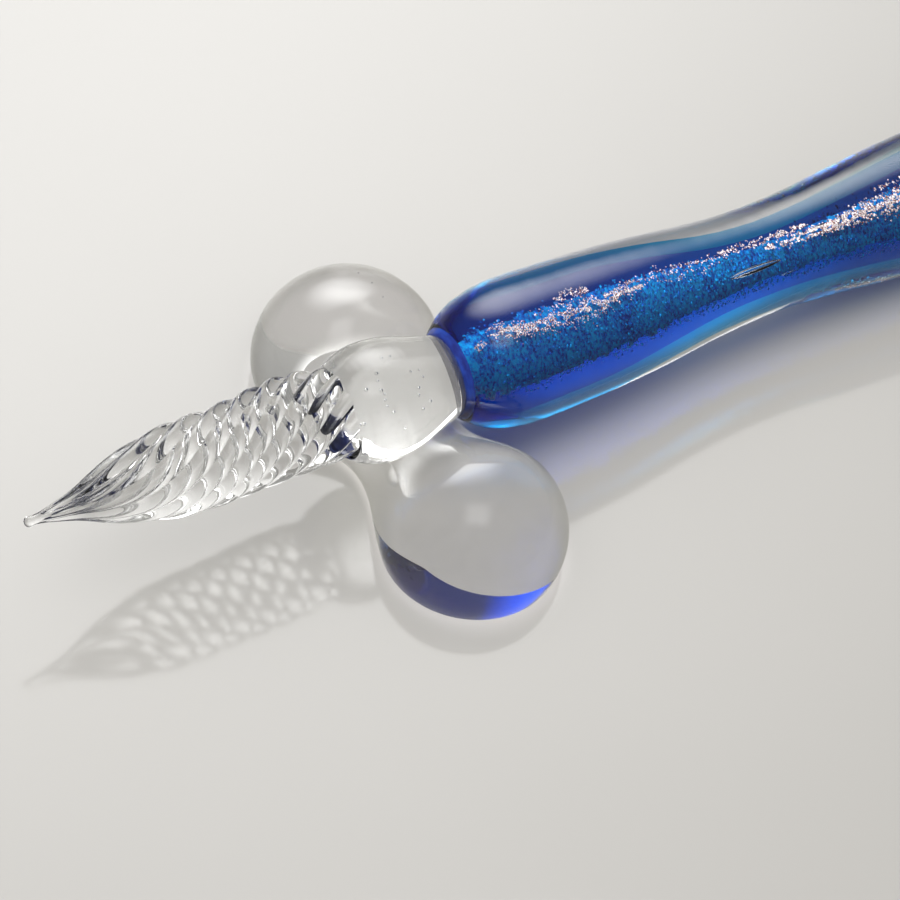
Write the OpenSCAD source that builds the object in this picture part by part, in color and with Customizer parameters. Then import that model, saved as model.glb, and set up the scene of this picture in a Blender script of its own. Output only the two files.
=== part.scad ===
// Glass dip pen lying on its glass pen rest.
// Lengths are in millimetres. The table is the plane z = 0 and the origin is the middle of the
// rest's flat base. +X runs from the writing point towards the tail, +Y along the rest.
// "Station" means a distance along the pen's own axis, measured from the writing point.

/* [Pen] */
// Length of the pen, from the writing point to the tail's far end
pen_length = 178; // [172:1:190]
// Station where the fluted nib meets the grip bulb
nib_end = 28.4; // [27.4:0.2:29]
// Angle by which the nib, joined on by hand, leans out of the barrel's line
nib_lean = 1; // [0:0.25:2]
// Station where the grip bulb meets the collar
bulb_end = 38.7; // [38.3:0.1:39]
// Width of the navy collar between the grip bulb and the barrel
collar_width = 0.7; // [0.6:0.1:1.2]
// Station where the barrel's clear case meets the tail
case_end = 150; // [145:1:155]
// Station where the cobalt layer closes to a point inside the case
colour_end = 132; // [130:1:136]

/* [Radii] */
// Largest radius of the nib, over its ribs
nib_r = 4.15; // [3.6:0.05:4.2]
// Radius of the clear grip bulb
bulb_r = 5.2; // [4.6:0.1:5.2]
// Radius of the neck between the bulb and the barrel
neck_r = 3.65; // [3.4:0.05:3.9]
// Radius of the barrel's front swelling
front_r = 6.4; // [6.2:0.1:6.6]
// Radius of the barrel's waist
waist_r = 4.9; // [4.6:0.1:5.1]
// Radius of the barrel's rear swelling
rear_r = 6.6; // [6.2:0.1:6.7]
// Radius of the bead that ends the tail and stands on the table
bead_r = 4.2; // [3.8:0.1:4.5]

/* [Nib ribs] */
// Number of ribs, with an ink groove between each two
rib_count = 10; // [8:1:12]
// Depth of the grooves as a share of the nib's radius
groove_share = 0.17; // [0.08:0.01:0.2]
// Twist of the ribs near the point, in degrees per millimetre
twist_slow = 1.5; // [0:0.5:4]
// Twist of the ribs near the bulb, in degrees per millimetre
twist_fast = 14; // [6:1:16]

/* [Colour layers] */
// Wall of the transparent cobalt sleeve
sleeve_wall = 0.5; // [0.4:0.05:0.6]
// Thickness of the layer that holds the copper flakes
flake_wall = 0.25; // [0.2:0.05:0.3]
// Greatest thickness of the turquoise overlay
overlay_wall = 0.4; // [0.3:0.05:0.5]
// Station where the turquoise overlay starts
overlay_start = 79; // [76:1:82]
// Station where the turquoise overlay ends
overlay_end = 123; // [120:1:125]

/* [Pen rest] */
// Distance from the middle of the rest to the middle of either lobe
lobe_offset = 10.6; // [10.5:0.1:12]
// Radius of the rear lobe, seen from above
rear_lobe_r = 8.5; // [7.5:0.1:8.6]
// Radius of the front lobe, seen from above
front_lobe_r = 8.1; // [7.5:0.1:8.4]
// Height above the table at which the lobes are widest
lobe_belly = 2.2; // [1.6:0.1:2.4]
// Half width of the waist that carries the pen
saddle_half = 5.2; // [4.8:0.1:5.4]
// Height of the waist that carries the pen
saddle_height = 5; // [4.5:0.1:5]

/* [Hidden] */
$fn = 96;

// Space left between two fused layers, so that each stays a solid of its own.
seam = 0.02;

// Where the pen lies: the bulb's widest station, its height, and the station over the rest's middle.
bulb_station = 32.2;
bulb_height = 9.91;
rest_station = 36.2;
bead_station = pen_length - bead_r;
slope = asin((bulb_height - bead_r) / (bead_station - bulb_station));
point_height = bulb_height + bulb_station * sin(slope);

// Outlines, each a list of [station, radius].
nib_outline = [
    [0, 0.16], [0.12, 0.36], [0.4, 0.46], [0.8, 0.42], [1.4, 0.48], [2.2, 0.66],
    [4.4, 0.31 * nib_r], [6.9, 0.56 * nib_r], [9.4, 0.75 * nib_r], [12, 0.89 * nib_r],
    [14.5, 0.95 * nib_r], [18.5, 0.96 * nib_r], [22.5, nib_r], [25.5, nib_r],
    [nib_end, 0.935 * nib_r], [nib_end + 1, 0.9 * nib_r]
];
bulb_outline = [
    [nib_end, 0.745 * bulb_r], [nib_end + 0.5, 0.84 * bulb_r], [nib_end + 1.5, 0.93 * bulb_r],
    [bulb_station - 1.2, 0.985 * bulb_r], [bulb_station, bulb_r], [34.2, 0.955 * bulb_r],
    [36.2, 0.84 * bulb_r], [37.6, 0.76 * bulb_r], [bulb_end, neck_r]
];
barrel_outline = [
    [bulb_end, neck_r], [39.4, 0.64 * front_r], [40.6, 0.79 * front_r], [42.3, 0.915 * front_r],
    [44.4, 0.985 * front_r], [47, front_r], [50.5, 0.985 * front_r], [54.5, 0.965 * front_r],
    [59.5, 0.91 * front_r], [65.5, 1.06 * waist_r], [71.5, waist_r], [77.5, 1.06 * waist_r],
    [83.5, 0.88 * rear_r], [90.5, 0.965 * rear_r], [99, rear_r], [114, 0.91 * rear_r],
    [131, 0.69 * rear_r], [case_end, 3.2]
];
tail_outline = [
    [case_end, 3.2], [158, 2.8], [165, 2.55], [bead_station - 3, 2.5]
];
sleeve_outline = [
    [bulb_end + collar_width, 3.85], [40.9, 4.2], [42.4, 4.3], [44.4, 4.15], [47, 3.9],
    [50.5, 3.78], [54.5, 3.65], [59.5, 3.2], [65.5, 2.6], [71.5, 2.37], [77.5, 2.5],
    [83.5, 2.85], [90.5, 3.3], [99, 3.75], [114, 3.3], [124, 2.3], [colour_end - 2, 1.2],
    [colour_end, 0.3]
];

// Value of a smooth curve through the points of an outline, at one station.
function tangent(line, i) =
    let (a = line[max(i - 1, 0)], b = line[min(i + 1, len(line) - 1)])
    (b[1] - a[1]) / (b[0] - a[0]);
function span_of(line, s) =
    max([for (i = [0 : len(line) - 2]) if (i == 0 || line[i][0] <= s) i]);
function radius_at(line, s) =
    let (i = span_of(line, s), a = line[i], b = line[i + 1], h = b[0] - a[0], u = (s - a[0]) / h)
    (1 + 2 * u) * pow(1 - u, 2) * a[1] + u * pow(1 - u, 2) * h * tangent(line, i)
    + u * u * (3 - 2 * u) * b[1] + u * u * (u - 1) * h * tangent(line, i + 1);

// Points [radius, station] along a curve, with the radius made smaller by inset.
function trace(line, from, to, steps, inset = 0) =
    [for (k = [0 : steps]) let (s = from + (to - from) * k / steps) [radius_at(line, s) - inset, s]];
function backwards(points) = [for (k = [len(points) - 1 : -1 : 0]) points[k]];

// Radius of the turquoise overlay's outside, which swells from the sleeve and closes on it again.
function overlay_r(s) =
    let (u = (s - overlay_start) / (overlay_end - overlay_start))
    radius_at(sleeve_outline, s) + 0.06 + overlay_wall * sin(180 * u);

// Radius of the hollow in the clear case.
function hollow_r(s) =
    seam + (s > overlay_start && s < overlay_end ? overlay_r(s) + seam : radius_at(sleeve_outline, s));

// Twist of the ribs at a station, left-handed: slow at the point, and quicker towards the bulb.
function ease(u) = let (v = min(max(u, 0), 1)) v * v * (3 - 2 * v);
function twist_at(s, step = 0.5) =
    s <= 0 ? 0 : twist_at(s - step) + step * (twist_slow + (twist_fast - twist_slow) * ease((s - 3) / 16));

// Radius of the nib at a station and at an angle round one rib.
function groove_at(s) = groove_share * ease((s - 0.6) / 3);
function nib_radius(s, rib_angle) =
    radius_at(nib_outline, s) * (1 - groove_at(s) * (1 - abs(cos(rib_count * rib_angle / 2))));

// The pen rest's section at a distance y from its middle: an ellipse whose lower part the flat base
// cuts off. Its half width, half height and middle height swell from the waist to the lobes.
waist_belly = 1.3;
lobe_flatness = 0.95;
function lobe_r(y) = y < 0 ? front_lobe_r : rear_lobe_r;
function swell(y) = (1 - cos(180 * min(abs(y) / lobe_offset, 1))) / 2;
function dome(y) = sqrt(max(0, 1 - pow(max(abs(y) - lobe_offset, 0) / lobe_r(y), 2)));
function rest_half_width(y) = (saddle_half + (lobe_r(y) - saddle_half) * swell(y)) * dome(y);
function rest_half_height(y) =
    let (waist = saddle_height - waist_belly)
    (waist + (lobe_flatness * lobe_r(y) - waist) * swell(y)) * dome(y);
function rest_middle(y) = waist_belly + (lobe_belly - waist_belly) * swell(y);

// Puts a shape built along +Z, from the writing point up, where the pen lies.
module along_pen() {
    translate([-rest_station * cos(slope), 0, point_height])
        rotate([0, 90 + slope, 0])
            children();
}

// Leans a shape about the middle of the grip bulb, so that the point moves towards +Y.
module leaning() {
    translate([0, 0, bulb_station])
        rotate([nib_lean, 0, 0])
            translate([0, 0, -bulb_station])
                children();
}

// A solid of revolution whose outline is a list of [radius, station].
module turned(points) {
    along_pen() rotate_extrude() polygon(points);
}

// Skin over rings of points, closed at each end by a fan round the ring's middle.
module lofted(rings, first, last) {
    n = len(rings[0]);
    m = len(rings);
    points = [first, each [for (ring = rings) each ring], last];
    sides = [for (i = [0 : m - 2], j = [0 : n - 1])
        let (a = 1 + i * n + j, b = 1 + i * n + (j + 1) % n)
        each [[a, a + n, b], [b, a + n, b + n]]];
    front = [for (j = [0 : n - 1]) [0, 1 + j, 1 + (j + 1) % n]];
    back = [for (j = [0 : n - 1]) [m * n + 1, 1 + (m - 1) * n + (j + 1) % n, 1 + (m - 1) * n + j]];
    polyhedron(points, concat(sides, front, back), convexity = 6);
}

module pen_rest() {
    rim = 48;
    end_angles = [12, 24, 36, 47, 58, 68, 77, 86];
    waist_steps = 16;
    front_end = [for (a = backwards(end_angles)) -lobe_offset - front_lobe_r * sin(a)];
    middle = [for (k = [0 : waist_steps]) lobe_offset * (2 * k / waist_steps - 1)];
    rear_end = [for (a = end_angles) lobe_offset + rear_lobe_r * sin(a)];
    section = function (y) [for (k = [0 : rim - 1])
        let (a = 360 * k / rim)
        [rest_half_width(y) * cos(a), y, rest_middle(y) + rest_half_height(y) * sin(a)]];
    color("gainsboro", 0.4)
        difference() {
            lofted([for (y = concat(front_end, middle, rear_end)) section(y)],
                [0, -lobe_offset - front_lobe_r, lobe_belly], [0, lobe_offset + rear_lobe_r, lobe_belly]);
            translate([-20, -30, -10]) cube([40, 60, 10]);
        }
}

// The ribs run on a little past the nib's end, where a plane across the pen cuts them off.
module nib() {
    points_per_rib = 6;
    past = 1;
    first = 2.2;
    steps = 38;
    stations = concat([0, 0.12, 0.4, 0.8, 1.4],
        [for (k = [0 : steps]) first + (nib_end + past - first) * k / steps]);
    round_count = rib_count * points_per_rib;
    ring = function (s) [for (j = [0 : round_count - 1])
        let (a = 360 * j / round_count, r = nib_radius(s, a), b = a - twist_at(s))
        [r * cos(b), r * sin(b), s]];
    color("whitesmoke", 0.4)
        along_pen()
            difference() {
                leaning() lofted([for (s = stations) ring(s)], [0, 0, 0], [0, 0, nib_end + past]);
                translate([-10, -10, nib_end - seam]) cube([20, 20, 5]);
            }
}

module grip_bulb() {
    color("whitesmoke", 0.4)
        turned([[0, nib_end], each trace(bulb_outline, nib_end, bulb_end - seam, 16), [0, bulb_end - seam]]);
}

module collar() {
    to = bulb_end + collar_width - seam;
    color("midnightblue")
        turned([[0, bulb_end], each trace(barrel_outline, bulb_end, to, 4), [0, to]]);
}

module clear_case() {
    from = bulb_end + collar_width;
    outside = concat(trace(barrel_outline, from, 52, 16), trace(barrel_outline, 54, case_end - seam, 48));
    hollow = [for (k = [0 : 56]) let (s = from + (colour_end - from) * k / 56) [hollow_r(s), s]];
    color("lightcyan", 0.3)
        turned([each outside, [0, case_end - seam], [0, colour_end + 1], each backwards(hollow)]);
}

module turquoise_overlay() {
    steps = 28;
    stations = [for (k = [0 : steps]) overlay_start + (overlay_end - overlay_start) * k / steps];
    color("turquoise", 0.6)
        turned([
            each [for (s = stations) [overlay_r(s), s]],
            each [for (s = backwards(stations)) [radius_at(sleeve_outline, s) + seam, s]]
        ]);
}

module cobalt_sleeve() {
    from = bulb_end + collar_width;
    wall_end = colour_end - 5;
    color("mediumblue", 0.8)
        turned([
            each trace(sleeve_outline, from, colour_end, 48),
            [0, colour_end],
            [0, wall_end],
            each backwards(trace(sleeve_outline, from, wall_end, 44, sleeve_wall))
        ]);
}

module flake_layer() {
    from = bulb_end + collar_width;
    wall_end = colour_end - 5;
    outer_inset = sleeve_wall + seam;
    color("rosybrown")
        turned([
            each trace(sleeve_outline, from, wall_end - seam, 44, outer_inset),
            each backwards(trace(sleeve_outline, from, wall_end - seam, 44, outer_inset + flake_wall))
        ]);
}

module glitter_core() {
    from = bulb_end + collar_width;
    core_end = colour_end - 5 - seam;
    inset = sleeve_wall + flake_wall + 2 * seam;
    color("dodgerblue")
        turned([[0, from], each trace(sleeve_outline, from, core_end, 44, inset), [0, core_end]]);
}

module tail_stem() {
    from = case_end;
    to = bead_station - 3.2;
    color("lightcyan", 0.3)
        turned([[0, from], each trace(tail_outline, from, to, 12), [0, to]]);
}

// A round bead, drawn out to a short cone where it joins the stem.
module tail_bead() {
    joint = bead_station - 3.2 + seam;
    ball = [for (k = [0 : 24]) let (a = 35 + 145 * k / 24) [bead_r * sin(a), bead_station - bead_r * cos(a)]];
    color("lightcyan", 0.3)
        turned([[0, joint], [2.4, joint], each [for (p = ball) if (p[1] > joint + 0.2) [max(p[0], 0), p[1]]]]);
}

pen_rest();
nib();
grip_bulb();
collar();
clear_case();
turquoise_overlay();
cobalt_sleeve();
flake_layer();
glitter_core();
tail_stem();
tail_bead();
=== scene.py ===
"""Looks of the glass dip pen on its glass rest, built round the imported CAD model."""
import math
import random

import bmesh
import bpy
import numpy as np
from mathutils import Matrix, Vector, noise


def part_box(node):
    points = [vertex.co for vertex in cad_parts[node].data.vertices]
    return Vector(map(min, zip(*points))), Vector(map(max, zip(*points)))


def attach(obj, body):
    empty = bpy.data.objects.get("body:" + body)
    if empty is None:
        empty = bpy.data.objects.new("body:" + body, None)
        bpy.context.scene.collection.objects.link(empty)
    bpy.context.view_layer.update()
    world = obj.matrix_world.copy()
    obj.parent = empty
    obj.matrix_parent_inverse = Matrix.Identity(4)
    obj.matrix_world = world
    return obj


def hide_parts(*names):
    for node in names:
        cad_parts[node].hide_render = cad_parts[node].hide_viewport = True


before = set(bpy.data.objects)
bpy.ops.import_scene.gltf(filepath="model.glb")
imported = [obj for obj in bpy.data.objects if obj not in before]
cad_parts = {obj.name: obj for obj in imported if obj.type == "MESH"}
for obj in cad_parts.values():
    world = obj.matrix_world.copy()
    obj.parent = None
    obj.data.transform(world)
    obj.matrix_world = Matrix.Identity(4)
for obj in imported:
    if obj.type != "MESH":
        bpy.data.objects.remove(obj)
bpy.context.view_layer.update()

random.seed(7)
MM = 0.001
scene = bpy.context.scene

# ---------------------------------------------------------------------------
# Where the pen lies, in millimetres. A station is a distance along the pen from its point.
BULB_STATION, REST_STATION = 32.2, 36.2
NIB_END, BULB_END, CASE_START, CASE_END, COLOUR_END = 28.4, 38.7, 39.4, 150.0, 132.0
NIB_LEAN = math.radians(1.0)
OVERLAY_START, OVERLAY_END = 79.2, 122.8
STEM_BEFORE_BEAD, STEM_R = 3.2, 2.5   # from the stem's end to the bead's middle; its radius there

bead_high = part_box("tail_bead")[1] / MM
bulb_low, bulb_high = (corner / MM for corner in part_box("grip_bulb"))
bead_r = bead_high.y
bulb_z = (bulb_low.z + bulb_high.z) / 2
bead_x = bead_high.x - bead_r
SLOPE = math.atan((bulb_z - bead_r) / (bead_x + REST_STATION - BULB_STATION))
AXIS = Vector((math.cos(SLOPE), 0, -math.sin(SLOPE)))
UP = Vector((math.sin(SLOPE), 0, math.cos(SLOPE)))
SIDE = Vector((0, 1, 0))
FOIL_MIDDLE, FOIL_HALF = 130, 50      # the core's grainy side, in degrees round the pen from +Y
BULB_MIDDLE = Vector(((BULB_STATION - REST_STATION) * math.cos(SLOPE), 0, bulb_z))
POINT = BULB_MIDDLE - AXIS * BULB_STATION


def on_pen(station, radius, angle):
    """The place at an angle round the pen's axis, from +Y towards the top, in mm."""
    return POINT + AXIS * station + (SIDE * math.cos(angle) + UP * math.sin(angle)) * radius


def ease(u):
    v = min(max(u, 0.0), 1.0)
    return v * v * (3 - 2 * v)


def in_layers(station, radius, angle):
    """As on_pen, but about the colour layers' middle, which drifts off the axis to the front and down."""
    drift = 0.18 * ease((station - 40) / 8) + 0.24 * ease((station - 58) / 16)
    drift *= ease((COLOUR_END - station) / 15)
    return on_pen(station, radius, angle) - (SIDE * 0.74 + UP * 0.68) * drift


# ---------------------------------------------------------------------------
# Outlines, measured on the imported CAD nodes.
def outline(node):
    """[(station, radius)] of the node's outer skin."""
    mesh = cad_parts[node].data
    spots = {}
    for face in mesh.polygons:
        centre = face.center / MM - POINT
        away = centre - AXIS * centre.dot(AXIS)
        if away.length < 1e-6 or face.normal.dot(away.normalized()) < 0.25:
            continue
        for index in face.vertices:
            place = mesh.vertices[index].co / MM - POINT
            station = place.dot(AXIS)
            key = round(station / 0.05)
            spots[key] = (station, (place - AXIS * station).length)
    return [spots[key] for key in sorted(spots)]


def curve_through(points):
    """A smooth function through the points [(station, radius)]."""
    x = [p[0] for p in points]
    y = [p[1] for p in points]
    last = len(x) - 1
    slopes = [(y[min(i + 1, last)] - y[max(i - 1, 0)]) / (x[min(i + 1, last)] - x[max(i - 1, 0)])
              for i in range(last + 1)]

    def value(s):
        i = int(min(max(np.searchsorted(x, s) - 1, 0), last - 1))
        h = x[i + 1] - x[i]
        u = min(max((s - x[i]) / h, 0.0), 1.0)
        return ((1 + 2 * u) * (1 - u) ** 2 * y[i] + u * (1 - u) ** 2 * h * slopes[i]
                + u * u * (3 - 2 * u) * y[i + 1] + u * u * (u - 1) * h * slopes[i + 1])
    return value


case_r = curve_through(outline("clear_case"))
bulb_r = curve_through(outline("grip_bulb"))
collar_r = curve_through(outline("collar"))
sleeve_r = curve_through(outline("cobalt_sleeve"))
core_r = curve_through(outline("glitter_core"))
overlay_r = curve_through(outline("turquoise_overlay"))
stem_r = curve_through(outline("tail_stem"))


# ---------------------------------------------------------------------------
# Materials.
def new_material(name):
    material = bpy.data.materials.new(name)
    material.use_nodes = True
    material.node_tree.nodes.clear()
    return material, material.node_tree


def add(tree, kind, **settings):
    node = tree.nodes.new(kind)
    for key, value in settings.items():
        setattr(node, key, value)
    return node


def set_inputs(node, **values):
    for key, value in values.items():
        node.inputs[key.replace("_", " ")].default_value = value
    return node


def rgba(r, g, b):
    return (r, g, b, 1.0)


def ramp(tree, source, stops, interpolation="LINEAR"):
    """Colour ramp fed by source; stops are (position, colour)."""
    node = add(tree, "ShaderNodeValToRGB")
    node.color_ramp.interpolation = interpolation
    elements = node.color_ramp.elements
    while len(elements) < len(stops):
        elements.new(0.5)
    for element, (position, colour) in zip(elements, stops):
        element.position = position
        element.color = colour
    tree.links.new(source, node.inputs["Fac"])
    return node


def place_nodes(tree, scale):
    """Object coordinates, scaled, for the procedural textures."""
    where = add(tree, "ShaderNodeTexCoord")
    mapping = add(tree, "ShaderNodeMapping")
    mapping.inputs["Scale"].default_value = scale
    tree.links.new(where.outputs["Object"], mapping.inputs["Vector"])
    return mapping.outputs["Vector"]


def let_lamps_through(tree, shader, colour):
    """The shader, but lamps shine on through it, dimmed to colour."""
    path = add(tree, "ShaderNodeLightPath")
    open_side = add(tree, "ShaderNodeBsdfTransparent")
    open_side.inputs["Color"].default_value = colour
    mix = add(tree, "ShaderNodeMixShader")
    tree.links.new(path.outputs["Is Shadow Ray"], mix.inputs["Fac"])
    tree.links.new(shader, mix.inputs[1])
    tree.links.new(open_side.outputs["BSDF"], mix.inputs[2])
    return mix.outputs["Shader"]


def glass(name, colour, tint, ior=1.5, ripple=0.02, ripple_scale=220,
          lets=(0.97, 0.97, 0.965, 1.0), absorb=None, density=0.0, rim=None):
    """Glass whose colour drifts between colour and tint, with soft draw marks on its skin.

    lets dims or brightens the lamps' light that shines on through it, absorb and density tint its
    depth, and rim is a painted shade: the colour its skin is darkened to where it is seen edge-on.
    """
    material, tree = new_material(name)
    out = add(tree, "ShaderNodeOutputMaterial")
    skin = set_inputs(add(tree, "ShaderNodeBsdfPrincipled"), Transmission_Weight=1.0, IOR=ior)
    where = place_nodes(tree, (1, 1, 1))
    drift = set_inputs(add(tree, "ShaderNodeTexNoise"), Scale=90.0, Detail=3.0, Roughness=0.5)
    tree.links.new(where, drift.inputs["Vector"])
    colours = ramp(tree, drift.outputs["Fac"], [(0.35, colour), (0.68, tint)])
    # Where rim is given, the skin's colour is darkened where it is seen edge-on: a painted shade on the
    # rim.
    if rim:
        painted_rim_mask = set_inputs(add(tree, "ShaderNodeLayerWeight"), Blend=0.5)
        edge = ramp(tree, painted_rim_mask.outputs["Facing"], [(0.42, rgba(1, 1, 1)), (0.9, rim)])
        both = add(tree, "ShaderNodeMix", data_type="RGBA", blend_type="MULTIPLY")
        both.inputs["Factor"].default_value = 1.0
        tree.links.new(colours.outputs["Color"], both.inputs["A"])
        tree.links.new(edge.outputs["Color"], both.inputs["B"])
        tree.links.new(both.outputs["Result"], skin.inputs["Base Color"])
    else:
        tree.links.new(colours.outputs["Color"], skin.inputs["Base Color"])
    dull = add(tree, "ShaderNodeMapRange")
    set_inputs(dull, From_Min=0.55, From_Max=0.8, To_Min=0.0, To_Max=0.015)
    tree.links.new(drift.outputs["Fac"], dull.inputs["Value"])
    tree.links.new(dull.outputs["Result"], skin.inputs["Roughness"])
    marks = set_inputs(add(tree, "ShaderNodeTexNoise"), Scale=float(ripple_scale), Detail=2.0)
    tree.links.new(where, marks.inputs["Vector"])
    bump = set_inputs(add(tree, "ShaderNodeBump"), Strength=ripple, Distance=0.001)
    tree.links.new(marks.outputs["Fac"], bump.inputs["Height"])
    tree.links.new(bump.outputs["Normal"], skin.inputs["Normal"])
    tree.links.new(let_lamps_through(tree, skin.outputs["BSDF"], lets), out.inputs["Surface"])
    if absorb:
        depth = set_inputs(add(tree, "ShaderNodeVolumeAbsorption"), Color=absorb, Density=density)
        tree.links.new(depth.outputs["Volume"], out.inputs["Volume"])
    return material


def joint_material(name="fused joint", colour=(1, 1, 1, 1)):
    """Where two glass pieces are fused the light runs straight on."""
    material, tree = new_material(name)
    out = add(tree, "ShaderNodeOutputMaterial")
    through = add(tree, "ShaderNodeBsdfTransparent")
    through.inputs["Color"].default_value = colour
    tree.links.new(through.outputs["BSDF"], out.inputs["Surface"])
    return material


def base_material():
    """The rest's ground base: light goes on into the table, with a faint milky bloom."""
    material, tree = new_material("ground base")
    out = add(tree, "ShaderNodeOutputMaterial")
    through = add(tree, "ShaderNodeBsdfTransparent")
    through.inputs["Color"].default_value = rgba(1, 1, 1)
    bloom = set_inputs(add(tree, "ShaderNodeBsdfPrincipled"), Roughness=0.6)
    specks = set_inputs(add(tree, "ShaderNodeTexNoise"), Scale=1400.0, Detail=3.0)
    tree.links.new(place_nodes(tree, (1, 1, 1)), specks.inputs["Vector"])
    colours = ramp(tree, specks.outputs["Fac"], [(0.35, rgba(0.62, 0.62, 0.60)),
                                                 (0.65, rgba(0.82, 0.82, 0.80))])
    tree.links.new(colours.outputs["Color"], bloom.inputs["Base Color"])
    mix = add(tree, "ShaderNodeMixShader")
    mix.inputs["Fac"].default_value = 0.08
    tree.links.new(through.outputs["BSDF"], mix.inputs[1])
    tree.links.new(bloom.outputs["BSDF"], mix.inputs[2])
    tree.links.new(mix.outputs["Shader"], out.inputs["Surface"])
    return material


def grain_material(name, metal, shine):
    """Flakes and grains: each takes its colour from the tone painted on its corners."""
    material, tree = new_material(name)
    out = add(tree, "ShaderNodeOutputMaterial")
    skin = set_inputs(add(tree, "ShaderNodeBsdfPrincipled"), Metallic=metal)
    tone = add(tree, "ShaderNodeAttribute", attribute_name="tone")
    where = place_nodes(tree, (1, 1, 1))
    fine = set_inputs(add(tree, "ShaderNodeTexNoise"), Scale=9000.0, Detail=2.0)
    tree.links.new(where, fine.inputs["Vector"])
    blend = add(tree, "ShaderNodeMix", data_type="RGBA", blend_type="OVERLAY")
    blend.inputs["Factor"].default_value = 0.25
    tree.links.new(tone.outputs["Color"], blend.inputs["A"])
    tree.links.new(fine.outputs["Color"], blend.inputs["B"])
    tree.links.new(blend.outputs["Result"], skin.inputs["Base Color"])
    dull = add(tree, "ShaderNodeMapRange")
    set_inputs(dull, To_Min=shine, To_Max=shine + 0.2)
    tree.links.new(fine.outputs["Fac"], dull.inputs["Value"])
    tree.links.new(dull.outputs["Result"], skin.inputs["Roughness"])
    tree.links.new(skin.outputs["BSDF"], out.inputs["Surface"])
    return material


def core_material():
    """Blue glass full of foil: a mottle of navy, blue and cyan, drawn out round the pen."""
    material, tree = new_material("glitter core")
    out = add(tree, "ShaderNodeOutputMaterial")
    skin = set_inputs(add(tree, "ShaderNodeBsdfPrincipled"), Metallic=0.2, Roughness=0.45)
    where = place_nodes(tree, (1.6, 1, 1))
    grains = set_inputs(add(tree, "ShaderNodeTexNoise"), Scale=2600.0, Detail=3.0, Roughness=0.62)
    clouds = set_inputs(add(tree, "ShaderNodeTexNoise"), Scale=330.0, Detail=2.0)
    tree.links.new(where, grains.inputs["Vector"])
    tree.links.new(where, clouds.inputs["Vector"])
    both = add(tree, "ShaderNodeMath", operation="MULTIPLY_ADD")
    both.inputs[1].default_value = 0.45
    tree.links.new(clouds.outputs["Fac"], both.inputs[0])
    tree.links.new(grains.outputs["Fac"], both.inputs[2])
    colours = ramp(tree, both.outputs["Value"], [
        (0.54, rgba(0.02, 0.04, 0.28)), (0.63, rgba(0.01, 0.16, 0.58)),
        (0.72, rgba(0.01, 0.40, 0.84)), (0.83, rgba(0.02, 0.76, 1.0))])
    tree.links.new(colours.outputs["Color"], skin.inputs["Base Color"])
    bump = set_inputs(add(tree, "ShaderNodeBump"), Strength=0.5, Distance=0.00008)
    tree.links.new(grains.outputs["Fac"], bump.inputs["Height"])
    tree.links.new(bump.outputs["Normal"], skin.inputs["Normal"])
    tree.links.new(let_lamps_through(tree, skin.outputs["BSDF"], rgba(0.3, 0.35, 0.85)),
                   out.inputs["Surface"])
    return material


def navy_material():
    """Nearly opaque navy glass with streaks drawn round it."""
    material, tree = new_material("collar glass")
    out = add(tree, "ShaderNodeOutputMaterial")
    skin = set_inputs(add(tree, "ShaderNodeBsdfPrincipled"), IOR=1.5)
    streaks = set_inputs(add(tree, "ShaderNodeTexNoise"), Scale=700.0, Detail=3.0)
    tree.links.new(place_nodes(tree, (3, 1, 1)), streaks.inputs["Vector"])
    colours = ramp(tree, streaks.outputs["Fac"], [(0.35, rgba(0.010, 0.025, 0.26)),
                                                  (0.7, rgba(0.022, 0.090, 0.60))])
    tree.links.new(colours.outputs["Color"], skin.inputs["Base Color"])
    dull = add(tree, "ShaderNodeMapRange")
    set_inputs(dull, To_Min=0.04, To_Max=0.16)
    tree.links.new(streaks.outputs["Fac"], dull.inputs["Value"])
    tree.links.new(dull.outputs["Result"], skin.inputs["Roughness"])
    tree.links.new(skin.outputs["BSDF"], out.inputs["Surface"])
    return material


CLEAR = glass("clear glass", rgba(0.985, 0.985, 0.975), rgba(0.955, 0.965, 0.955),
              lets=rgba(1.08, 1.08, 1.06))
NIB_GLASS = glass("nib glass", rgba(0.99, 0.99, 0.985), rgba(0.96, 0.965, 0.96), ripple=0.01,
                  ripple_scale=400)
# The rest's rim colour is a painted shade: a dark olive edge where its skin is seen edge-on.
REST_GLASS = glass("rest glass", rgba(0.985, 0.98, 0.965), rgba(0.95, 0.955, 0.94), ripple=0.012,
                   ripple_scale=120, lets=rgba(1.34, 1.33, 1.34), rim=rgba(0.42, 0.42, 0.36))
CASE_GLASS = glass("case glass", rgba(0.99, 0.985, 0.975), rgba(0.96, 0.965, 0.955), ripple=0.015,
                   ripple_scale=160)
BUBBLE = glass("bubble skin", rgba(1, 1, 1), rgba(0.97, 0.975, 0.98), ripple=0.0)
COBALT = glass("cobalt glass", rgba(0.05, 0.64, 0.96), rgba(0.03, 0.56, 0.93), ior=1.0,
               lets=rgba(0.86, 0.80, 0.94),
               absorb=rgba(0.0, 0.72, 0.92), density=750.0)
TURQUOISE = glass("turquoise glass", rgba(0.86, 0.99, 0.99), rgba(0.74, 0.98, 0.97), ior=1.0,
                  lets=rgba(0.92, 0.99, 0.99),
                  absorb=rgba(0.10, 0.85, 0.85), density=170.0)
JOINT = joint_material()
OPEN_CORE = joint_material("foil-free core", rgba(0.50, 0.62, 0.92))
GROUND = base_material()
COLLAR = navy_material()
COPPER = grain_material("copper flakes", 0.75, 0.22)
GRAINS = grain_material("blue grains", 0.45, 0.3)
CORE = core_material()


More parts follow.
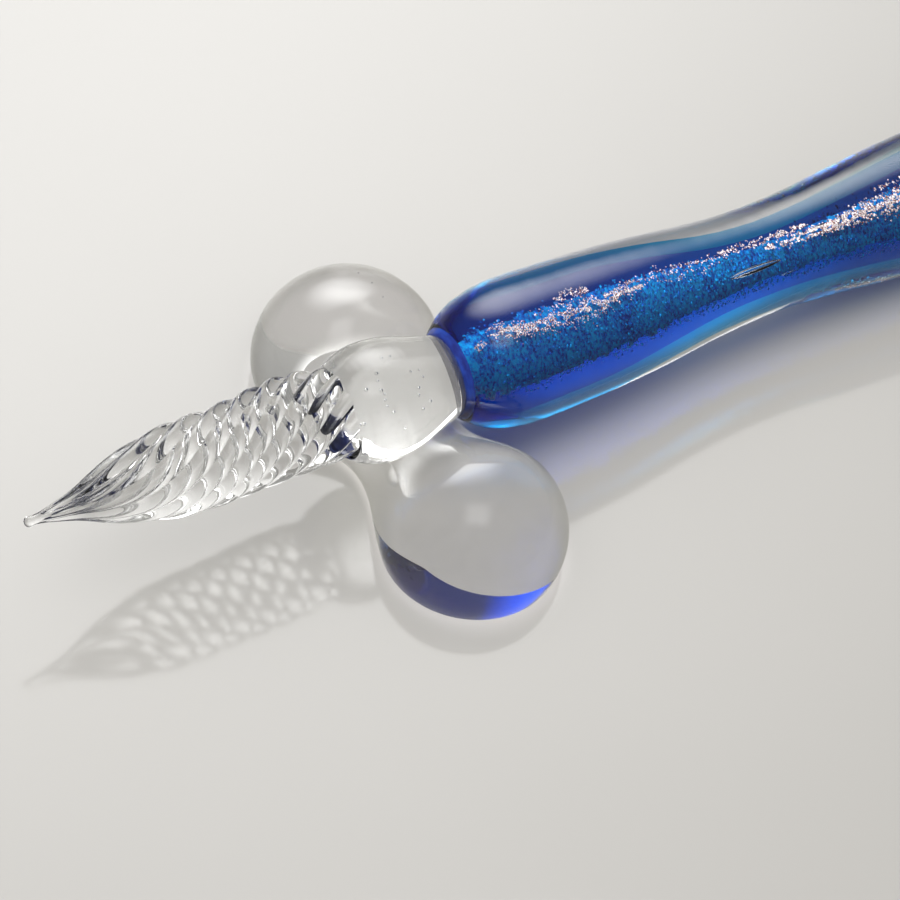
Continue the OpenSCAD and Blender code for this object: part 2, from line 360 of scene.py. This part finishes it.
# ---------------------------------------------------------------------------
# Mesh helpers.
def to_object(name, points, faces, materials, body, nodes=(), kinds=None, sharp=None):
    """A piece of the object, from points in mm, riding on a CAD body."""
    mesh = bpy.data.meshes.new(name)
    mesh.from_pydata([tuple(Vector(p) * MM) for p in points], [], faces)
    for material in materials:
        mesh.materials.append(material)
    if kinds is not None:
        mesh.polygons.foreach_set("material_index", kinds)
    mesh.polygons.foreach_set("use_smooth", [True] * len(mesh.polygons))
    mesh.update()
    mesh.validate()
    if sharp is not None:
        mesh.set_sharp_from_angle(angle=math.radians(sharp))
    piece = bpy.data.objects.new(name, mesh)
    scene.collection.objects.link(piece)
    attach(piece, body)
    if nodes:
        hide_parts(*nodes)
    return piece


def skin_of(rings):
    """(points, faces, kinds) of a tube through rings of points; kind 1 marks the end caps."""
    count = len(rings[0])
    points = [p for ring in rings for p in ring]
    faces, kinds = [], []
    for i in range(len(rings) - 1):
        for j in range(count):
            a, b = i * count + j, i * count + (j + 1) % count
            faces.append((a, b, b + count, a + count))
            kinds.append(0)
    for end in (0, len(rings) - 1):
        middle = sum((Vector(p) for p in rings[end]), Vector()) / count
        points.append(middle)
        for j in range(count):
            a, b = end * count + j, end * count + (j + 1) % count
            faces.append((b, a, len(points) - 1) if end == 0 else (a, b, len(points) - 1))
            kinds.append(1)
    return points, faces, kinds


def turned_rings(radius, start, end, steps, around=96, wobble=0.0, seed=0.0, place=on_pen):
    """Rings of a hand-worked round: its radius wanders by up to the share wobble."""
    rings = []
    for k in range(steps + 1):
        s = start + (end - start) * k / steps
        ring = []
        for j in range(around):
            a = 2 * math.pi * j / around
            drift = noise.noise(Vector((s * 0.09, math.cos(a) * 0.8, math.sin(a) * 0.8 + seed)))
            ring.append(place(s, radius(s) * (1 + wobble * drift), a))
        rings.append(ring)
    return rings


# ---------------------------------------------------------------------------
# Nib: ten ribs, nearly straight at the point and wound to the left towards the bulb.
RIBS, PER_RIB, GROOVE, NIB_R = 10, 14, 0.17, 4.15
TWIST_SLOW, TWIST_FAST = 1.5, 14.0    # degrees per mm at the point and towards the bulb
nib_outline = curve_through([
    (0, 0.16), (0.12, 0.36), (0.4, 0.46), (0.8, 0.42), (1.4, 0.48), (2.2, 0.66),
    (4.4, 0.31 * NIB_R), (6.9, 0.56 * NIB_R), (9.4, 0.75 * NIB_R), (12, 0.89 * NIB_R),
    (14.5, 0.95 * NIB_R), (18.5, 0.96 * NIB_R), (22.5, NIB_R), (25.5, NIB_R),
    (NIB_END, 0.935 * NIB_R), (NIB_END + 1, 0.9 * NIB_R)])


def nib_rings(steps=150):
    rings, twist, before = [], 0.0, 0.0
    stations = [0.0, 0.06, 0.12, 0.25, 0.4, 0.6, 0.8]
    stations += [1.1 + (NIB_END - 1.1) * k / steps for k in range(steps + 1)]
    for s in stations:
        twist += (s - before) * (TWIST_SLOW + (TWIST_FAST - TWIST_SLOW) * ease((s - 3) / 16))
        before = s
        groove = GROOVE * ease((s - 0.6) / 3)
        bow = 0.1 + 0.36 * ease((s - 17) / 7) - 0.2 * ease((s - 25) / 3.4)
        ring = []
        for j in range(RIBS * PER_RIB):
            a = 2 * math.pi * j / (RIBS * PER_RIB)
            ripple = 1 + 0.012 * noise.noise(Vector((s * 0.5, math.cos(a) * 2, math.sin(a) * 2)))
            r = nib_outline(s) * ripple * (1 - groove * (1 - abs(math.cos(RIBS * a / 2))))
            b = a - math.radians(twist) - math.pi / 2
            flat = (s - BULB_STATION) * math.sin(-NIB_LEAN)
            along = BULB_STATION + (s - BULB_STATION) * math.cos(NIB_LEAN)
            across = SIDE * (r * math.cos(b)) + UP * (r * math.sin(b))
            lean = AXIS * (r * math.cos(b) * math.sin(NIB_LEAN) * ease((NIB_END - s) / 6))
            ring.append(POINT + AXIS * along + SIDE * flat + across + lean
                        + (SIDE * 0.69 + UP * 0.72) * bow)
        rings.append(ring)
    return rings


# Only the end that meets the bulb is open to the light.
points, faces, kinds = skin_of(nib_rings())
kinds = [k if i >= len(kinds) - RIBS * PER_RIB else 0 for i, k in enumerate(kinds)]
to_object("nib_glass", points, faces, [NIB_GLASS, JOINT], "pen", ["nib"],
          kinds, sharp=38)

# Bulb, with the joints to the nib and to the collar left open to the light.
points, faces, kinds = skin_of(turned_rings(bulb_r, NIB_END, BULB_END, 60, 128, 0.004, 3.0))
to_object("grip_bulb_glass", points, faces, [CLEAR, JOINT], "pen",
          ["grip_bulb"], kinds, sharp=60)

# Collar: a thin navy disc under the barrel's shoulder.
points, faces, kinds = skin_of(turned_rings(collar_r, BULB_END + 0.02, CASE_START - 0.02, 8, 128))
to_object("collar_glass", points, faces, [COLLAR], "pen", ["collar"],
          [0] * len(faces), sharp=60)

# Clear case.
points, faces, kinds = skin_of(turned_rings(case_r, CASE_START, CASE_END, 260, 128, 0.006, 1.0))
to_object("clear_case_glass", points, faces, [CASE_GLASS, JOINT], "pen",
          ["clear_case"], kinds, sharp=60)

# Colour layers.
points, faces, kinds = skin_of(turned_rings(sleeve_r, CASE_START, COLOUR_END, 220, 96, 0.02, 5.0,
                                            in_layers))
to_object("cobalt_glass_layer", points, faces, [COBALT], "pen",
          ["cobalt_sleeve"], [0] * len(faces), sharp=60)
points, faces, kinds = skin_of(turned_rings(core_r, CASE_START + 0.2, COLOUR_END - 5.5, 200, 96, 0.01,
                                            8.0, in_layers))
core = to_object("glitter_core_glass", points, faces, [CORE], "pen",
                 ["glitter_core"], [0] * len(faces), sharp=60)
core.data.materials.append(OPEN_CORE)
# The foil covers one side, with a ragged edge; the rest of the core lets the pale table show through.
for face in core.data.polygons:
    off = face.center / MM - POINT
    turn = math.degrees(math.atan2(off.dot(UP), off.dot(SIDE)))
    ragged = 9 * noise.noise(face.center * 1500)
    face.material_index = 0 if abs(turn - FOIL_MIDDLE) < FOIL_HALF - 6 + ragged else 1


def thin_overlay(s):
    """The overlay's radius, closer on the sleeve than the CAD's outer wall."""
    return sleeve_r(s) + 0.04 + 0.45 * (overlay_r(s) - sleeve_r(s))


points, faces, kinds = skin_of(turned_rings(thin_overlay, OVERLAY_START, OVERLAY_END, 90, 96, 0.0, 0.0,
                                            in_layers))
to_object("turquoise_glass_layer", points, faces, [TURQUOISE], "pen",
          ["turquoise_overlay"], [0] * len(faces), sharp=60)

# Tail.
stem_end = BULB_STATION + (bead_x + REST_STATION - BULB_STATION) / math.cos(SLOPE) - STEM_BEFORE_BEAD
points, faces, kinds = skin_of(turned_rings(stem_r, CASE_END, stem_end, 60, 96, 0.006, 2.0))
to_object("tail_stem_glass", points, faces, [CLEAR, JOINT], "pen",
          ["tail_stem"], kinds, sharp=60)
bead_station = stem_end + STEM_BEFORE_BEAD
BEAD_AROUND = 96


def bead_rings(steps=60):
    rings = []
    first = math.asin(STEM_R / bead_r)
    for k in range(steps + 1):
        a = first + (math.pi - 0.02 - first) * k / steps
        s = bead_station - bead_r * math.cos(a)
        ring = [on_pen(s, bead_r * math.sin(a), 2 * math.pi * j / BEAD_AROUND)
                for j in range(BEAD_AROUND)]
        rings.append(ring)
    return rings


points, faces, kinds = skin_of(bead_rings())
kinds = [k if i < len(kinds) - BEAD_AROUND else 0 for i, k in enumerate(kinds)]
to_object("tail_bead_glass", points, faces, [CLEAR, JOINT], "pen",
          ["tail_bead"], kinds, sharp=60)

# ---------------------------------------------------------------------------
# Pen rest: two domes joined by a waist, flat where it stands.
rest_low, rest_high = (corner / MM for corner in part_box("pen_rest"))
LOBE, BELLY, WAIST_BELLY, WAIST_HALF, WAIST_TOP = 10.6, 2.2, 1.3, 5.2, 5.0
rear_r, front_r = rest_high.y - LOBE, -rest_low.y - LOBE


def rest_section(y):
    """(half width, half height, middle) of the rest's section."""
    lobe = front_r if y < 0 else rear_r
    swell = (1 - math.cos(math.pi * min(abs(y) / LOBE, 1))) / 2
    dome = math.sqrt(max(0.0, 1 - (max(abs(y) - LOBE, 0) / lobe) ** 2))
    waist = WAIST_TOP - WAIST_BELLY
    return ((WAIST_HALF + (lobe - WAIST_HALF) * swell) * dome,
            (waist + (0.95 * lobe - waist) * swell) * dome,
            WAIST_BELLY + (BELLY - WAIST_BELLY) * swell)


def ground_edge(rim):
    """Where the ground part of the base ends, inside a place on the base's rim.

    The ring outside it is polished: it mirrors the barrel, which makes the blue crescent of the
    front lobe. It is wide in both lobes and narrow at the waist.
    """
    lobe = Vector((0, min(max(rim.y, -LOBE), LOBE), rim.z))
    wide = lobe + (rim - lobe) * (0.93 - 0.6 * ease((rim.y - 4) / 5))
    out = rim - Vector((0, -LOBE, rim.z))
    out.z = 0
    out.normalize()
    shift, reach = Vector((2.4, 1.0, 0)), 5.3
    along = out.dot(shift)
    narrow = Vector((0, -LOBE, rim.z)) + out * (
        along + math.sqrt(reach ** 2 - shift.length_squared + along ** 2))
    return wide.lerp(narrow, ease((-rim.y - LOBE + 12) / 12))


def rest_object():
    """The rest: oval sections from lobe to lobe, cut flat at the table, with the base partly ground."""
    around = 128
    ys = [-LOBE - front_r * math.sin(math.radians(a)) for a in np.linspace(89, 3, 44)]
    ys += list(np.linspace(-LOBE, LOBE, 90))
    ys += [LOBE + rear_r * math.sin(math.radians(a)) for a in np.linspace(3, 89, 44)]
    rings = []
    for y in ys:
        half, high, middle = rest_section(y)
        rings.append([Vector((half * math.cos(2 * math.pi * j / around), y,
                              middle + high * math.sin(2 * math.pi * j / around)))
                      for j in range(around)])
    points, faces, _ = skin_of(rings)
    piece = to_object("pen_rest_glass", points, faces, [REST_GLASS, GROUND], "pen_rest",
                      ["pen_rest"], [0] * len(faces))
    shape = bmesh.new()
    shape.from_mesh(piece.data)
    cut = bmesh.ops.bisect_plane(shape, geom=shape.verts[:] + shape.edges[:] + shape.faces[:],
                                 plane_co=(0, 0, 0.00002), plane_no=(0, 0, -1), clear_outer=True)
    rim = [e for e in cut["geom_cut"] if isinstance(e, bmesh.types.BMEdge)]
    base = bmesh.ops.contextual_create(shape, geom=rim)["faces"]
    bmesh.ops.inset_region(shape, faces=base, thickness=0.2 * MM)
    for face in base:
        face.material_index = 1
        for vert in face.verts:
            vert.co = ground_edge(vert.co / MM) * MM
    bmesh.ops.recalc_face_normals(shape, faces=shape.faces)
    shape.to_mesh(piece.data)
    shape.free()
    piece.data.set_sharp_from_angle(angle=math.radians(50))
    return piece


rest_object()


# ---------------------------------------------------------------------------
# Flakes and grains.
def platelets(name, places, material, nodes=()):
    """Small flat irregular flakes; places are (station, angle, lift, size, colour)."""
    points, faces, tones = [], [], []
    for station, angle, lift, size, colour in places:
        normal = (SIDE * math.cos(angle) + UP * math.sin(angle))
        normal = (normal + Vector([random.uniform(-0.42, 0.42) for _ in range(3)])).normalized()
        first = normal.orthogonal().normalized()
        second = normal.cross(first)
        centre = in_layers(station, lift, angle)
        turn = random.uniform(0, 2 * math.pi)
        corners = random.choice((4, 5, 5, 6))
        base = len(points)
        for k in range(corners):
            a = turn + 2 * math.pi * k / corners
            reach = size * random.uniform(0.65, 1.15)
            points.append(centre + first * math.cos(a) * reach + second * math.sin(a) * reach)
        points.append(centre + normal * 0.018)
        points.append(centre - normal * 0.018)
        for k in range(corners):
            a, b = base + k, base + (k + 1) % corners
            faces += [(a, b, base + corners), (b, a, base + corners + 1)]
            tones += [colour, colour]
    piece = to_object(name, points, faces, [material], "pen", nodes)
    piece.data.polygons.foreach_set("use_smooth", [False] * len(piece.data.polygons))
    paint = piece.data.color_attributes.new("tone", "FLOAT_COLOR", "CORNER")
    flat = []
    for face, colour in zip(piece.data.polygons, tones):
        flat += list(colour) * face.loop_total
    paint.data.foreach_set("color", flat)
    return piece


def mixed(a, b, share):
    return tuple(x + (y - x) * share for x, y in zip(a, b))


def grain_places(count):
    """Navy, blue and cyan grains on the side of the core that carries the foil."""
    navy, blue, cyan = (0.02, 0.03, 0.22, 1), (0.01, 0.20, 0.66, 1), (0.03, 0.75, 1.0, 1)
    places = []
    for _ in range(count):
        s = random.uniform(CASE_START + 1.2, COLOUR_END - 9)
        a = math.radians(FOIL_MIDDLE + random.uniform(-1, 1) * FOIL_HALF + random.gauss(0, 5))
        pick = random.random()
        cloud = 0.5 + 0.5 * noise.noise(Vector((s * 0.35, a * 2.2, 0.3)))
        share = 0.12 + pick * 0.72 + cloud * 0.45
        if share < 0.5:
            colour = mixed(navy, blue, share * 2)
        else:
            colour = mixed(blue, cyan, min(share * 2 - 1, 1))
        lift = core_r(s) + random.uniform(0.0, 0.12)
        places.append((s, a, lift, random.uniform(0.06, 0.14), colour))
    return places


def copper_places(bands):
    """Bands of copper flakes along the barrel, many painted pink to white as glints: (from, to, angle,
    turn, width, count).
    """
    painted_glint_white, painted_glint_pink, brown = (1.0, 0.96, 0.96, 1), (0.97, 0.84, 0.84, 1), (0.22, 0.09, 0.08, 1)
    places = []
    for start, end, angle, turn, width, count in bands:
        for _ in range(count):
            u = random.random()
            s = start + (end - start) * u
            spread = width * (0.35 + 0.65 * math.sin(math.pi * u))
            a = math.radians(angle + turn * u + random.gauss(0, spread))
            patch = noise.noise(Vector((s * 1.1, a * 9.0, 2.0)))
            if patch < -0.16:
                continue
            # A third of the flakes keep a dark copper brown; the rest get a painted glint, pink to white,
            # standing in for flakes that catch the light.
            pick = random.random()
            colour = brown if pick < 0.34 else mixed(painted_glint_pink, painted_glint_white, (pick - 0.34) * 1.5)
            lift = max(sleeve_r(s), thin_overlay(s) if 79 < s < 123 else 0) + 0.03
            size = random.uniform(0.03, 0.075) * (1 + 0.4 * ease((s - 60) / 20))
            places.append((s, a, lift + random.uniform(0, 0.03), size, colour))
    return places


BANDS = [
    (40.5, 41.6, 108, 0, 2.5, 90), (42.0, 44.2, 99, 0, 4, 320), (43.2, 55, 105, 3, 7, 2300),
    (49, 52.5, 84, 2, 4, 300), (53.5, 57.5, 101, 1, 4, 520), (56, 64, 94, -3, 4, 320),
    (59, 66, 104, 0, 5, 120), (64, 72, 92, -2, 4, 120), (65, 76, 86, 0, 4, 520),
    (71, 79, 102, 2, 5, 700), (76, 104, 104, 6, 9, 6400), (102, 122, 110, 6, 8, 2200),
    (84, 122, 80, 10, 5, 700), (76, 112, 330, -30, 8, 700),
]
platelets("blue_grains", grain_places(6500), GRAINS)
platelets("copper_flakes", copper_places(BANDS), COPPER, ["flake_layer"])


# ---------------------------------------------------------------------------
# Bubbles: small hollows, so their skins face inwards.
def bubbles(name, spots, body):
    """spots are (centre, half lengths, long axis) in mm."""
    shape = bmesh.new()
    for centre, sizes, along in spots:
        turn = Vector(along).to_track_quat("Z", "Y").to_matrix().to_4x4()
        place = Matrix.Translation(Vector(centre) * MM) @ turn @ Matrix.Diagonal(
            (*[size * MM for size in sizes], 1))
        bmesh.ops.create_icosphere(shape, subdivisions=3, radius=1.0, matrix=place)
    bmesh.ops.recalc_face_normals(shape, faces=shape.faces)
    bmesh.ops.reverse_faces(shape, faces=shape.faces)
    mesh = bpy.data.meshes.new(name)
    shape.to_mesh(mesh)
    shape.free()
    mesh.materials.append(BUBBLE)
    mesh.polygons.foreach_set("use_smooth", [True] * len(mesh.polygons))
    piece = bpy.data.objects.new(name, mesh)
    scene.collection.objects.link(piece)
    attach(piece, body)
    return piece


TOWARDS_VIEW = Vector((-0.40, -0.50, 0.77))
ACROSS_VIEW = Vector((0.85, -0.52, 0.10))
UP_VIEW = Vector((0.34, 0.69, 0.63))


def in_bulb(right, high, deep):
    return BULB_MIDDLE + ACROSS_VIEW * right + UP_VIEW * high - TOWARDS_VIEW * deep


seeds = [(0, 2.2, -2.4), (0.1, 1.6, -2.6), (0.4, 0.8, -2.8), (0.65, 0.5, -2.6), (0.7, 0.0, -2.5),
         (0.9, -0.5, -2.7), (1.4, -1.0, -2.4), (-0.9, 0.8, -2.2), (-0.9, -1.9, -2.0),
         (2.3, -2.3, -1.8), (3.6, 1.1, -1.2), (3.6, 0.5, -1.4), (3.9, 2.0, -0.6), (4.4, 0.1, -0.2),
         (3.9, -0.6, -1.0), (3.5, 2.5, -0.5), (2.9, 2.4, -1.2), (1.1, 3.5, -1.0), (0.4, 3.4, -1.4)]
bubbles("bulb_bubbles", [(in_bulb(x / 1.2, y / 1.2, z), [random.uniform(0.09, 0.15)] * 3, AXIS)
                         for x, y, z in seeds], "pen")
bubbles("case_bubbles", [
    (on_pen(68.6, 4.1, math.radians(134)), (0.24, 0.34, 2.8), AXIS),
    (on_pen(72.0, 4.1, math.radians(152)), (0.08, 0.1, 0.9), AXIS),
    (on_pen(76.5, 4.2, math.radians(112)), (0.06, 0.08, 0.6), AXIS),
    (on_pen(44.6, 5.4, math.radians(165)), (0.1, 0.1, 0.1), AXIS),
], "pen")
bubbles("rest_bubbles", [
    ((-3.4, -6.2, 4.6), (0.12, 0.12, 0.6), (0.3, 1, 0.1)),
    ((2.5, 14.0, 6.5), (0.08, 0.08, 0.08), (0, 0, 1)),
    ((2.8, 12.6, 6.9), (0.07, 0.07, 0.1), (0, 0, 1)),
    ((2.9, 11.2, 7.0), (0.07, 0.07, 0.07), (0, 0, 1)),
], "pen_rest")


# ---------------------------------------------------------------------------
# Studio: a pale glossy table, a soft window light beyond the pen and a pale room.
def floor_object():
    """A pale table with a soft gloss and faint clouds in its colour."""
    half = 2.5
    mesh = bpy.data.meshes.new("table")
    mesh.from_pydata([(-half, -half, 0), (half, -half, 0), (half, half, 0), (-half, half, 0)], [],
                     [(0, 1, 2, 3)])
    material, tree = new_material("table")
    out = add(tree, "ShaderNodeOutputMaterial")
    skin = set_inputs(add(tree, "ShaderNodeBsdfPrincipled"), Roughness=0.10, IOR=1.5)
    where = place_nodes(tree, (1, 1, 1))
    clouds = set_inputs(add(tree, "ShaderNodeTexNoise"), Scale=9.0, Detail=4.0)
    tree.links.new(where, clouds.inputs["Vector"])
    colours = ramp(tree, clouds.outputs["Fac"], [(0.3, rgba(0.585, 0.57, 0.545)),
                                                 (0.7, rgba(0.615, 0.60, 0.575))])
    tree.links.new(colours.outputs["Color"], skin.inputs["Base Color"])
    tree.links.new(skin.outputs["BSDF"], out.inputs["Surface"])
    mesh.materials.append(material)
    table = bpy.data.objects.new("table", mesh)
    scene.collection.objects.link(table)


def direction(azimuth, elevation):
    """A unit vector; azimuth from +X towards +Y, elevation above the table, in degrees."""
    a, e = math.radians(azimuth), math.radians(elevation)
    return Vector((math.cos(a) * math.cos(e), math.sin(a) * math.cos(e), math.sin(e)))


def soft_panel(tree, where, azimuth, elevation, half_wide, half_high, softness, brightness):
    """Radiance of a soft-edged panel that far away in the room; half sizes are tangents."""
    middle = direction(azimuth, elevation)
    across = Vector((-math.sin(math.radians(azimuth)), math.cos(math.radians(azimuth)), 0))
    up = middle.cross(across)

    def along(vector):
        node = add(tree, "ShaderNodeVectorMath", operation="DOT_PRODUCT")
        tree.links.new(where, node.inputs[0])
        node.inputs[1].default_value = vector
        return node.outputs["Value"]

    def math_node(operation, a, b):
        node = add(tree, "ShaderNodeMath", operation=operation)
        for socket, value in zip(node.inputs, (a, b)):
            if isinstance(value, (int, float)):
                socket.default_value = value
            else:
                tree.links.new(value, socket)
        return node.outputs["Value"]

    ahead = math_node("MAXIMUM", along(middle), 0.001)
    shares = []
    for vector, half in ((across, half_wide), (up, half_high)):
        offset = math_node("ABSOLUTE", math_node("DIVIDE", along(vector), ahead), 0.0)
        edge = add(tree, "ShaderNodeMapRange", interpolation_type="SMOOTHSTEP")
        set_inputs(edge, From_Min=half * (1 + softness), From_Max=half * (1 - softness))
        tree.links.new(offset, edge.inputs["Value"])
        shares.append(edge.outputs["Result"])
    return math_node("MULTIPLY", math_node("MULTIPLY", shares[0], shares[1]), brightness)


floor_object()

world = bpy.data.worlds.new("room")
world.use_nodes = True
scene.world = world
tree = world.node_tree
tree.nodes.clear()
out = add(tree, "ShaderNodeOutputWorld")
room = add(tree, "ShaderNodeBackground")
where = add(tree, "ShaderNodeTexCoord").outputs["Generated"]
split = add(tree, "ShaderNodeSeparateXYZ")
tree.links.new(where, split.inputs["Vector"])
heights = ramp(tree, split.outputs["Z"], [
    (0.0, rgba(0.27, 0.268, 0.26)), (0.3, rgba(0.29, 0.287, 0.275)),
    (0.7, rgba(0.40, 0.395, 0.38)), (1.0, rgba(0.52, 0.515, 0.50))])
overhead = soft_panel(tree, where, 238, 76, 0.22, 0.22, 0.6, 2.2)
both = add(tree, "ShaderNodeMix", data_type="RGBA", blend_type="ADD")
both.inputs["Factor"].default_value = 1.0
tree.links.new(heights.outputs["Color"], both.inputs["A"])
tree.links.new(overhead, both.inputs["B"])
tree.links.new(both.outputs["Result"], room.inputs["Color"])
tree.links.new(room.outputs["Background"], out.inputs["Surface"])


def window_panel(azimuth, elevation, distance, wide, high, brightness):
    """A soft-edged bright panel beyond the pen, which shows in gloss and through glass."""
    way = direction(azimuth, elevation)
    mesh = bpy.data.meshes.new("window_panel")
    mesh.from_pydata([(-wide, -high, 0), (wide, -high, 0), (wide, high, 0), (-wide, high, 0)], [],
                     [(0, 1, 2, 3)])
    material, tree = new_material("window panel")
    out = add(tree, "ShaderNodeOutputMaterial")
    glow = add(tree, "ShaderNodeEmission")
    room_behind = add(tree, "ShaderNodeBsdfTransparent")
    both = add(tree, "ShaderNodeAddShader")
    where = add(tree, "ShaderNodeTexCoord")
    centred = add(tree, "ShaderNodeVectorMath", operation="MULTIPLY_ADD")
    tree.links.new(where.outputs["Generated"], centred.inputs[0])
    centred.inputs[1].default_value = (2, 2, 0)
    centred.inputs[2].default_value = (-1, -1, 0)
    reach = add(tree, "ShaderNodeVectorMath", operation="LENGTH")
    tree.links.new(centred.outputs["Vector"], reach.inputs[0])
    fade = set_inputs(add(tree, "ShaderNodeMapRange", interpolation_type="SMOOTHSTEP"),
                      From_Min=1.0, From_Max=0.1, To_Max=brightness)
    tree.links.new(reach.outputs["Value"], fade.inputs["Value"])
    tree.links.new(fade.outputs["Result"], glow.inputs["Strength"])
    tree.links.new(glow.outputs["Emission"], both.inputs[0])
    tree.links.new(room_behind.outputs["BSDF"], both.inputs[1])
    tree.links.new(both.outputs["Shader"], out.inputs["Surface"])
    mesh.materials.append(material)
    panel = bpy.data.objects.new("window_panel", mesh)
    panel.location = way * distance
    panel.rotation_mode = "QUATERNION"
    panel.rotation_quaternion = way.to_track_quat("Z", "Y")
    scene.collection.objects.link(panel)
    panel.visible_camera = False
    panel.visible_diffuse = False
    panel.visible_shadow = False


def overhead_lamp(azimuth, elevation, distance, size, power):
    """The lamp that lights the table and the colours inside the glass."""
    way = direction(azimuth, elevation)
    data = bpy.data.lights.new("overhead lamp", "AREA")
    data.size = size
    data.energy = power
    data.cycles.use_multiple_importance_sampling = False
    lamp = bpy.data.objects.new("overhead lamp", data)
    lamp.location = way * distance
    lamp.rotation_mode = "QUATERNION"
    lamp.rotation_quaternion = way.to_track_quat("Z", "Y")
    scene.collection.objects.link(lamp)


window_panel(70, 40, 1.5, 1.05, 0.95, 6.0)
overhead_lamp(70, 80, 1.0, 0.55, 4.7)

# ---------------------------------------------------------------------------
# Camera, from the photograph's own side.
camera_data = bpy.data.cameras.new("camera")
camera = bpy.data.objects.new("camera", camera_data)
scene.collection.objects.link(camera)
scene.camera = camera
camera_data.sensor_width = 36
camera_data.lens = 121.7
camera_data.shift_y = -0.0378
camera_data.clip_start, camera_data.clip_end = 0.01, 20
right = Vector((0.8494, -0.5175, 0.1040))
high = Vector((0.3442, 0.6923, 0.6343))
back = Vector((-0.4003, -0.5030, 0.7660))
camera.matrix_world = Matrix.Translation((-0.1009, -0.1318, 0.2043)) @ Matrix(
    (right, high, back)).transposed().to_4x4()

scene.view_settings.view_transform = "Standard"
scene.cycles.max_bounces = 26
scene.cycles.transmission_bounces = 24
scene.cycles.glossy_bounces = 8
scene.cycles.transparent_max_bounces = 32
scene.cycles.caustics_reflective = False
scene.cycles.caustics_refractive = False
scene.cycles.sample_clamp_indirect = 8.0
